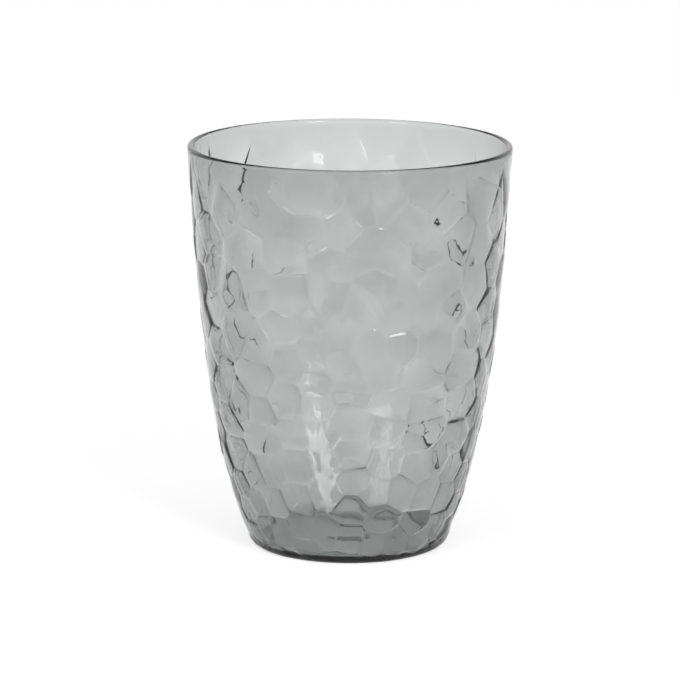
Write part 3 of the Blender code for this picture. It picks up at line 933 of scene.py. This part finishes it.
@dataclass
class HammeredWallTree:
    """The Geometry Nodes tree that raises the bosses and rolls the drum onto the wall."""

    shoulder_shares: tuple[float, ...] = (0.14, 0.38, 0.66, 1.0)
    shoulder_power: float = 1.4
    ring_shares: tuple[float, ...] = (0.62, 0.28, 0.0)
    section_steps: int = 512
    weld_distance: float = 0.000004

    def section_object(self, section: WallSection) -> bpy.types.Object:
        """Lay out the wall's section as a line of points at an even pitch of climb.

        Args:
            section: The section.

        Returns:
            The line as an object, with radius as x and height as y.
        """
        climbs = np.linspace(0.0, section.climbs[-1], self.section_steps + 1)
        mesh = bpy.data.meshes.new("wall_section")
        points = [(*section.sunk(float(climb), 0.0), 0.0) for climb in climbs]
        mesh.from_pydata(points, [(i, i + 1) for i in range(self.section_steps)], [])
        return linked("wall_section", mesh)

    def build(self) -> bpy.types.NodeTree:
        """Build the tree and return it."""
        tree = bpy.data.node_groups.new("hammered_wall", "GeometryNodeTree")
        face = tree.interface
        for name, kind in (
            ("Layout", "NodeSocketGeometry"),
            ("Turned Parts", "NodeSocketObject"),
            ("Wall Section", "NodeSocketObject"),
            ("Climb Step", "NodeSocketFloat"),
            ("Top Radius", "NodeSocketFloat"),
            ("Shoulder Width", "NodeSocketFloat"),
            ("Band Climb", "NodeSocketFloat"),
            ("Band Fade", "NodeSocketFloat"),
            ("Weld Distance", "NodeSocketFloat"),
            ("Plastic", "NodeSocketMaterial"),
        ):
            face.new_socket(name, in_out="INPUT", socket_type=kind)
        face.new_socket("Tumbler", in_out="OUTPUT", socket_type="NodeSocketGeometry")
        make = TreeMaker(tree)
        source = make.node("NodeGroupInput")
        rings = self.add_rings(make, source)
        rolled = self.add_roll(make, source, rings)
        parts = make.node("GeometryNodeObjectInfo", transform_space="ORIGINAL")
        make.feed(parts.inputs["Object"], source.outputs["Turned Parts"])
        join = make.node("GeometryNodeJoinGeometry")
        make.feed(join.inputs[0], rolled)
        make.feed(join.inputs[0], parts.outputs["Geometry"])
        weld = make.node("GeometryNodeMergeByDistance")
        make.feed(weld.inputs["Geometry"], join.outputs[0])
        make.feed(weld.inputs["Distance"], source.outputs["Weld Distance"])
        smooth = make.node("GeometryNodeSetShadeSmooth")
        make.feed(smooth.inputs["Geometry"], weld.outputs[0])
        real = make.node("GeometryNodeRealizeInstances")
        make.feed(real.inputs[0], smooth.outputs[0])
        plastic = make.node("GeometryNodeSetMaterial")
        make.feed(plastic.inputs["Geometry"], real.outputs[0])
        make.feed(plastic.inputs["Material"], source.outputs["Plastic"])
        target = make.node("NodeGroupOutput")
        make.feed(target.inputs[0], plastic.outputs[0])
        return tree

    def add_ring(
        self,
        make: TreeMaker,
        mesh: bpy.types.NodeSocket,
        inner: object,
        place: bpy.types.NodeSocket,
    ) -> tuple[bpy.types.NodeSocket, bpy.types.NodeSocket]:
        """Add a ring of faces inside each cell's outline.

        Args:
            make: Adds the nodes.
            mesh: The mesh so far.
            inner: Which faces to go on from.
            place: Where each vertex of the new, inner outline goes.

        Returns:
            The new mesh, and which of its faces are the inner ones.
        """
        ring = make.node("GeometryNodeExtrudeMesh", mode="FACES")
        make.feed(ring.inputs["Mesh"], mesh)
        ring.inputs["Offset Scale"].default_value = 0.0
        ring.inputs["Individual"].default_value = True
        if inner is not None:
            make.feed(ring.inputs["Selection"], inner)
        move = make.node("GeometryNodeSetPosition")
        make.feed(move.inputs["Geometry"], ring.outputs["Mesh"])
        make.feed(move.inputs["Selection"], ring.outputs["Top"])
        make.feed(move.inputs["Position"], place)
        return move.outputs["Geometry"], ring.outputs["Top"]

    def add_rings(self, make: TreeMaker, source: bpy.types.Node) -> bpy.types.NodeSocket:
        """Split the cells apart and fill each with rings of faces towards its middle.

        Args:
            make: Adds the nodes.
            source: The tree's inputs.

        Returns:
            The mesh, with each vertex's share of the groove's depth noted.
        """
        split = make.node("GeometryNodeSplitEdges")
        make.feed(split.inputs["Mesh"], source.outputs["Layout"])
        here = make.node("GeometryNodeInputPosition").outputs[0]
        middle = make.attribute("cell_middle", "FLOAT_VECTOR")
        from_middle = make.vectors("SUBTRACT", here, middle)
        reach = make.vectors("LENGTH", from_middle)
        shoulder = make.maths("DIVIDE", source.outputs["Shoulder Width"], reach)
        mesh = self.note(make, split.outputs["Mesh"], None, "shoulder_share", 1.0)
        inner = None
        last = 0.0
        for share in self.shoulder_shares:
            kept = make.maths("SUBTRACT", 1.0, make.maths("MULTIPLY", shoulder, share - last))
            place = make.vectors("ADD", middle, make.vectors("SCALE", from_middle, kept))
            mesh, inner = self.add_ring(make, mesh, inner, place)
            groove_share = (1.0 - share) ** self.shoulder_power
            mesh = self.note(make, mesh, inner, "shoulder_share", groove_share)
            last = share
        last = 1.0
        for share in self.ring_shares:
            place = make.vectors("ADD", middle, make.vectors("SCALE", from_middle, share / last))
            mesh, inner = self.add_ring(make, mesh, inner, place)
            last = share
        return mesh

    @staticmethod
    def note(
        make: TreeMaker, mesh: bpy.types.NodeSocket, where: object, name: str, value: float
    ) -> bpy.types.NodeSocket:
        """Store a number on the vertices of some faces.

        Args:
            make: Adds the nodes.
            mesh: The mesh so far.
            where: Which faces, or None for all.
            name: Name of the attribute.
            value: The number.

        Returns:
            The mesh with the attribute.
        """
        note = make.node("GeometryNodeStoreNamedAttribute", data_type="FLOAT", domain="POINT")
        make.feed(note.inputs["Geometry"], mesh)
        if where is not None:
            make.feed(note.inputs["Selection"], where)
        note.inputs["Name"].default_value = name
        note.inputs["Value"].default_value = value
        return note.outputs["Geometry"]

    def add_roll(
        self,
        make: TreeMaker,
        source: bpy.types.Node,
        mesh: bpy.types.NodeSocket,
    ) -> bpy.types.NodeSocket:
        """Move each vertex from the drum to the wall, sunk by the depth of its boss there.

        Args:
            make: Adds the nodes.
            source: The tree's inputs.
            mesh: The mesh on the drum.

        Returns:
            The mesh on the wall.
        """
        drum = make.split(make.node("GeometryNodeInputPosition").outputs[0])
        x, y, climb = drum.outputs
        depth_share = self.add_depth(make, source, (x, y, climb))
        steps = make.maths("DIVIDE", climb, source.outputs["Climb Step"])
        below = make.maths("FLOOR", steps)
        low = self.section_point(make, source, below)
        high = self.section_point(make, source, make.maths("ADD", below, 1.0))
        along = make.vectors("SUBTRACT", high, low)
        part = make.maths("SUBTRACT", steps, below)
        on_curve = make.split(make.vectors("ADD", low, make.vectors("SCALE", along, part)))
        upward = make.split(make.vectors("NORMALIZE", along))
        depth = make.maths("MULTIPLY", depth_share, on_curve.outputs[0])
        inwards = make.maths("MULTIPLY", depth, upward.outputs[1])
        radius = make.maths("SUBTRACT", on_curve.outputs[0], inwards)
        raised = make.maths("MULTIPLY", depth, upward.outputs[0])
        height = make.maths("ADD", on_curve.outputs[1], raised)
        angle = make.maths("ARCTAN2", y, x)
        rolled = make.combine(
            make.maths("MULTIPLY", radius, make.maths("COSINE", angle)),
            make.maths("MULTIPLY", radius, make.maths("SINE", angle)),
            height,
        )
        move = make.node("GeometryNodeSetPosition")
        make.feed(move.inputs["Geometry"], mesh)
        make.feed(move.inputs["Position"], rolled)
        return move.outputs["Geometry"]

    @staticmethod
    def add_depth(
        make: TreeMaker, source: bpy.types.Node, place: Sequence[bpy.types.NodeSocket]
    ) -> bpy.types.NodeSocket:
        """Find how deep each vertex lies: on its boss's top, on the shoulder or in the groove.

        Args:
            make: Adds the nodes.
            source: The tree's inputs.
            place: The vertex's two coordinates round the drum, and its climb.

        Returns:
            The depth, as a share of the radius there. It fades out towards the plain band.
        """
        x, y, climb = place
        boss = make.split(make.attribute("boss_place", "FLOAT_VECTOR"))
        boss_x, boss_y, boss_climb = boss.outputs
        top = make.split(make.attribute("boss_top", "FLOAT_VECTOR"))
        top_depth, sideways_slope, upward_slope = top.outputs
        cross = make.maths("MULTIPLY", boss_x, y)
        cross = make.maths("SUBTRACT", cross, make.maths("MULTIPLY", boss_y, x))
        dot = make.maths("MULTIPLY", boss_x, x)
        dot = make.maths("ADD", dot, make.maths("MULTIPLY", boss_y, y))
        sideways = make.maths("ARCTAN2", cross, dot)
        upwards = make.maths("SUBTRACT", climb, boss_climb)
        square = make.maths("MULTIPLY", sideways, sideways)
        square = make.maths("ADD", square, make.maths("MULTIPLY", upwards, upwards))
        fall = make.maths("MULTIPLY", source.outputs["Top Radius"], 2.0)
        fall = make.maths("DIVIDE", square, fall)
        leaned = make.maths("MULTIPLY_ADD", sideways, sideways_slope, top_depth)
        leaned = make.maths("MULTIPLY_ADD", upwards, upward_slope, leaned)
        room = make.node("ShaderNodeMapRange", interpolation_type="SMOOTHSTEP")
        make.feed(room.inputs["Value"], make.maths("SUBTRACT", source.outputs["Band Climb"], climb))
        make.feed(room.inputs["From Max"], source.outputs["Band Fade"])
        blend = make.node("ShaderNodeMix", data_type="FLOAT")
        make.feed(blend.inputs["Factor"], make.attribute("shoulder_share", "FLOAT"))
        make.feed(blend.inputs["A"], make.maths("ADD", leaned, fall))
        make.feed(blend.inputs["B"], make.attribute("groove_depth", "FLOAT"))
        return make.maths("MULTIPLY", blend.outputs["Result"], room.outputs[0])

    @staticmethod
    def section_point(
        make: TreeMaker, source: bpy.types.Node, index: bpy.types.NodeSocket
    ) -> bpy.types.NodeSocket:
        """Look up one point of the wall's section.

        Args:
            make: Adds the nodes.
            source: The tree's inputs.
            index: Number of the point.

        Returns:
            Its radius and height, as a vector.
        """
        section = make.node("GeometryNodeObjectInfo", transform_space="ORIGINAL")
        make.feed(section.inputs["Object"], source.outputs["Wall Section"])
        sample = make.node(
            "GeometryNodeSampleIndex", data_type="FLOAT_VECTOR", domain="POINT", clamp=True
        )
        make.feed(sample.inputs["Geometry"], section.outputs["Geometry"])
        make.feed(sample.inputs["Value"], make.node("GeometryNodeInputPosition").outputs[0])
        make.feed(sample.inputs["Index"], index)
        return sample.outputs[0]


@dataclass(frozen=True)
class SmokePlastic:
    """Clear plastic with an even smoke grey tint, glossy, with a faint haze and moulding ripple."""

    ior: float = 1.50
    tint: tuple[float, float, float] = (0.300, 0.320, 0.315)
    tint_density: float = 380.0
    polish: float = 0.012
    haze: float = 0.05
    haze_scale: float = 90.0
    haze_detail: float = 3.0
    haze_range: Point = (0.5, 0.85)
    ripple_scale: float = 140.0
    ripple_detail: float = 1.0
    ripple_height: float = 0.000004
    scuffed_height: float = 0.0002
    scuffed_roughness: float = 0.28

    def build(self) -> bpy.types.Material:
        """Return the material."""
        material = bpy.data.materials.new(PLASTIC_SLOT)
        material.use_nodes = True
        make = TreeMaker(material.node_tree)
        shader = material.node_tree.nodes["Principled BSDF"]
        output = material.node_tree.nodes["Material Output"]
        shader.inputs["Base Color"].default_value = (1.0, 1.0, 1.0, 1.0)
        shader.inputs["Metallic"].default_value = 0.0
        shader.inputs["IOR"].default_value = self.ior
        shader.inputs["Transmission Weight"].default_value = 1.0
        where = make.node("ShaderNodeTexCoord").outputs["Object"]
        make.feed(shader.inputs["Roughness"], self.roughness(make, where))
        make.feed(shader.inputs["Normal"], self.ripple(make, where))
        tint = make.node("ShaderNodeVolumeAbsorption")
        tint.inputs["Color"].default_value = (*self.tint, 1.0)
        tint.inputs["Density"].default_value = self.tint_density
        make.feed(output.inputs["Volume"], tint.outputs[0])
        return material

    def roughness(self, make: TreeMaker, where: bpy.types.NodeSocket) -> bpy.types.NodeSocket:
        """Polish the plastic, with hazy patches and a scuffed foot ring.

        Args:
            make: Adds the nodes.
            where: The place on the cup.

        Returns:
            The roughness.
        """
        patches = make.node("ShaderNodeMapRange")
        make.feed(patches.inputs["Value"], make.noise(where, self.haze_scale, self.haze_detail))
        for name, value in zip(
            ("From Min", "From Max", "To Min", "To Max"), (*self.haze_range, self.polish, self.haze)
        ):
            patches.inputs[name].default_value = value
        height = make.split(where).outputs[2]
        foot = make.maths("LESS_THAN", height, self.scuffed_height)
        scuff = make.maths("MULTIPLY", foot, self.scuffed_roughness)
        return make.maths("MAXIMUM", patches.outputs[0], scuff)

    def ripple(self, make: TreeMaker, where: bpy.types.NodeSocket) -> bpy.types.NodeSocket:
        """Add the faint ripple that the mould leaves.

        Args:
            make: Adds the nodes.
            where: The place on the cup.

        Returns:
            The normal.
        """
        bump = make.node("ShaderNodeBump")
        bump.inputs["Distance"].default_value = self.ripple_height
        make.feed(bump.inputs["Height"], make.noise(where, self.ripple_scale, self.ripple_detail))
        return bump.outputs[0]


@dataclass
class Tumbler:
    """The cup, from its CAD box to its finished mesh."""

    low: Sequence[float]
    high: Sequence[float]
    finish: SmokePlastic = field(default_factory=SmokePlastic)

    def build(self) -> bpy.types.Object:
        """Make the cup's mesh with the tree.

        Returns:
            The finished object.
        """
        width, height = self.high[0] - self.low[0], self.high[2] - self.low[2]
        section = WallSection(rim_diameter=width, height=height)
        pattern = HammerPattern(section)
        layout = CellLayout(pattern).build()
        turned = TurnedParts(section, pattern).build(layout)
        tree_maker = HammeredWallTree()
        line = tree_maker.section_object(section)
        tree = tree_maker.build()
        modifier = layout.modifiers.new("hammered_wall", "NODES")
        modifier.node_group = tree
        rim_radius = section.rim_diameter / 2
        values = {
            "Turned Parts": turned,
            "Wall Section": line,
            "Climb Step": float(section.climbs[-1]) / tree_maker.section_steps,
            "Top Radius": pattern.top_radius / rim_radius,
            "Shoulder Width": pattern.shoulder_width / rim_radius,
            "Band Climb": pattern.top,
            "Band Fade": pattern.fade,
            "Weld Distance": tree_maker.weld_distance,
            "Plastic": self.finish.build(),
        }
        for item in tree.interface.items_tree:
            if item.in_out == "INPUT" and item.name in values:
                modifier[item.identifier] = values[item.name]
        cup = self.real_mesh(layout)
        for helper in (layout, turned, line):
            bpy.data.objects.remove(helper, do_unlink=True)
        return cup

    def real_mesh(self, layout: bpy.types.Object) -> bpy.types.Object:
        """Take the tree's result as a plain mesh with its faces pointing out.

        Args:
            layout: The object with the tree on it.

        Returns:
            A new object.
        """
        bpy.context.view_layer.update()
        seen = layout.evaluated_get(bpy.context.evaluated_depsgraph_get())
        mesh = bpy.data.meshes.new_from_object(seen)
        mesh.name = "clear_tumbler"
        bm = bmesh.new()
        bm.from_mesh(mesh)
        bmesh.ops.dissolve_degenerate(bm, dist=COINCIDENT, edges=bm.edges)
        bmesh.ops.recalc_face_normals(bm, faces=bm.faces)
        if bm.calc_volume(signed=True) < 0:
            bmesh.ops.reverse_faces(bm, faces=bm.faces)
        open_edges = sum(len(edge.link_faces) != 2 for edge in bm.edges)
        LOG.info("cup has %d open edges and %.1f ml of plastic", open_edges, bm.calc_volume() * 1e6)
        bm.to_mesh(mesh)
        bm.free()
        LOG.info("cup has %d triangles", sum(len(face.vertices) - 2 for face in mesh.polygons))
        return linked("clear_tumbler", mesh)


@dataclass
class Studio:
    """The white floor and surroundings, two soft boxes and the camera."""

    height: float
    camera_distance: float = 1.05
    camera_near: float = 0.05
    camera_elevation_deg: float = 12.2
    camera_roll_deg: float = 0.291
    sensor_width: float = 36.0
    focal_pixels: float = 4031.0
    frame_pixels: float = 680.0
    aim_pixels: Point = (349.08, 343.3)
    box_azimuths_deg: tuple[float, float] = (-38.0, 27.0)
    box_distance: float = 1.1
    box_elevation_deg: float = 20.0
    box_size: Point = (0.26, 0.36)
    box_watts: tuple[float, float] = (1.4, 2.9)
    dim_strength: float = 0.18
    front_strength: float = 1.6
    band_span: Point = (0.55, 0.35)
    behind_span: Point = (-0.3, 0.3)
    floor_white: float = 0.93
    floor_lift: float = 0.60
    # Span along the floor over which the painted shade in the floor's glow gives way to full lift,
    # from in front of the cup to behind it.
    painted_shade_span: Point = (-0.25, 0.20)
    floor_reach: float = 6.0
    floor_gap: float = 0.00005

    def add_camera(self) -> None:
        """Add the camera at the photograph's angle."""
        data = bpy.data.cameras.new("camera")
        data.sensor_width = self.sensor_width
        data.lens = data.sensor_width * self.focal_pixels / self.frame_pixels
        middle = self.frame_pixels / 2
        data.shift_x = (middle - self.aim_pixels[0]) / self.frame_pixels
        data.shift_y = (self.aim_pixels[1] - middle) / self.frame_pixels
        data.clip_start = self.camera_near
        camera = linked("camera", data)
        elevation = math.radians(self.camera_elevation_deg)
        away = Vector((0.0, -math.cos(elevation), math.sin(elevation)))
        camera.location = Vector((0.0, 0.0, self.height / 2)) + away * self.camera_distance
        turn = away.to_track_quat("Z", "Y").to_matrix().to_4x4()
        roll = Matrix.Rotation(math.radians(self.camera_roll_deg), 4, "Z")
        camera.matrix_world = Matrix.Translation(camera.location) @ turn @ roll
        bpy.context.scene.camera = camera

    def add_floor(self) -> None:
        """Add the white floor, which keeps the soft shadow of the cup.

        The lift that makes it white for the camera is also there for gloss and for clear plastic,
        in full behind the cup and less of it in front. This is painted shade: the floor under and
        in front of the cup looks darker in the gloss and through the plastic, in place of the cup's
        shadow.
        """
        reach = self.floor_reach
        corners = [
            (x * reach, y * reach, -self.floor_gap) for x, y in ((-1, -1), (1, -1), (1, 1), (-1, 1))
        ]
        mesh = bpy.data.meshes.new("floor")
        mesh.from_pydata(corners, [], [(0, 1, 2, 3)])
        floor = linked("floor", mesh)
        material = bpy.data.materials.new("white_floor")
        material.use_nodes = True
        make = TreeMaker(material.node_tree)
        shader = material.node_tree.nodes["Principled BSDF"]
        white = self.floor_white
        shader.inputs["Base Color"].default_value = (white, white, white, 1.0)
        shader.inputs["Roughness"].default_value = 1.0
        shader.inputs["Specular IOR Level"].default_value = 0.0
        shader.inputs["Emission Color"].default_value = (1.0, 1.0, 1.0, 1.0)
        path = make.node("ShaderNodeLightPath")
        glossy, clear = path.outputs["Is Glossy Ray"], path.outputs["Is Transmission Ray"]
        along = make.split(make.node("ShaderNodeNewGeometry").outputs["Position"])
        # Painted shade: for gloss and clear plastic the floor's glow fades from full behind the cup
        # to none in front of it. This darkens the floor seen under and in front of the cup.
        behind = make.ramp(along.outputs[1], self.painted_shade_span)
        seen = make.maths("MULTIPLY", make.maths("MAXIMUM", glossy, clear), behind)
        seen = make.maths("MAXIMUM", path.outputs["Is Camera Ray"], seen)
        lifted = make.maths("MULTIPLY", seen, self.floor_lift)
        make.feed(shader.inputs["Emission Strength"], lifted)
        mesh.materials.append(material)

    def add_surroundings(self) -> None:
        """Add a white background and a pale band low all round, brighter in front and dim above."""
        world = bpy.data.worlds.new("studio")
        world.use_nodes = True
        bpy.context.scene.world = world
        make = TreeMaker(world.node_tree)
        along = make.split(make.node("ShaderNodeTexCoord").outputs["Generated"])
        behind = make.ramp(along.outputs[1], self.behind_span)
        low = make.ramp(along.outputs[2], self.band_span)
        lit = make.maths("MULTIPLY_ADD", behind, 1.0 - self.front_strength, self.front_strength)
        lit = make.maths("SUBTRACT", lit, self.dim_strength)
        lit = make.maths("MULTIPLY_ADD", low, lit, self.dim_strength)
        background = world.node_tree.nodes["Background"]
        background.inputs["Color"].default_value = (1.0, 1.0, 1.0, 1.0)
        white = make.node("ShaderNodeLightPath").outputs["Is Camera Ray"]
        make.feed(background.inputs["Strength"], make.maths("MAXIMUM", white, lit))

    def add_soft_boxes(self) -> None:
        """Add a soft box at each side of the camera."""
        for side, azimuth, watts in zip(Side, self.box_azimuths_deg, self.box_watts):
            data = bpy.data.lights.new(f"soft_box_{side.value}", "AREA")
            data.shape = "RECTANGLE"
            data.size, data.size_y = self.box_size
            data.energy = watts
            box = linked(f"soft_box_{side.value}", data)
            turn, lift = math.radians(azimuth), math.radians(self.box_elevation_deg)
            level = math.cos(lift)
            away = Vector((math.sin(turn) * level, -math.cos(turn) * level, math.sin(lift)))
            box.location = Vector((0.0, 0.0, self.height / 2)) + away * self.box_distance
            box.rotation_euler = away.to_track_quat("Z", "Y").to_euler()

    def build(self) -> None:
        """Add everything that isn't the object."""
        self.add_camera()
        self.add_floor()
        self.add_surroundings()
        self.add_soft_boxes()
        bpy.context.scene.view_settings.view_transform = "Standard"


def main() -> None:
    """Load the frame, make the tumbler in its place and set up the studio."""
    logging.basicConfig(level=logging.INFO, format="%(name)s: %(message)s")
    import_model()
    low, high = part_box(CAD_NODE)
    cup = Tumbler(low, high).build()
    LOG.info("built %s", cup.name)
    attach(cup, "root")
    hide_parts(CAD_NODE)
    Studio(height=high[2] - low[2]).build()


if __name__ == "__main__":
    main()
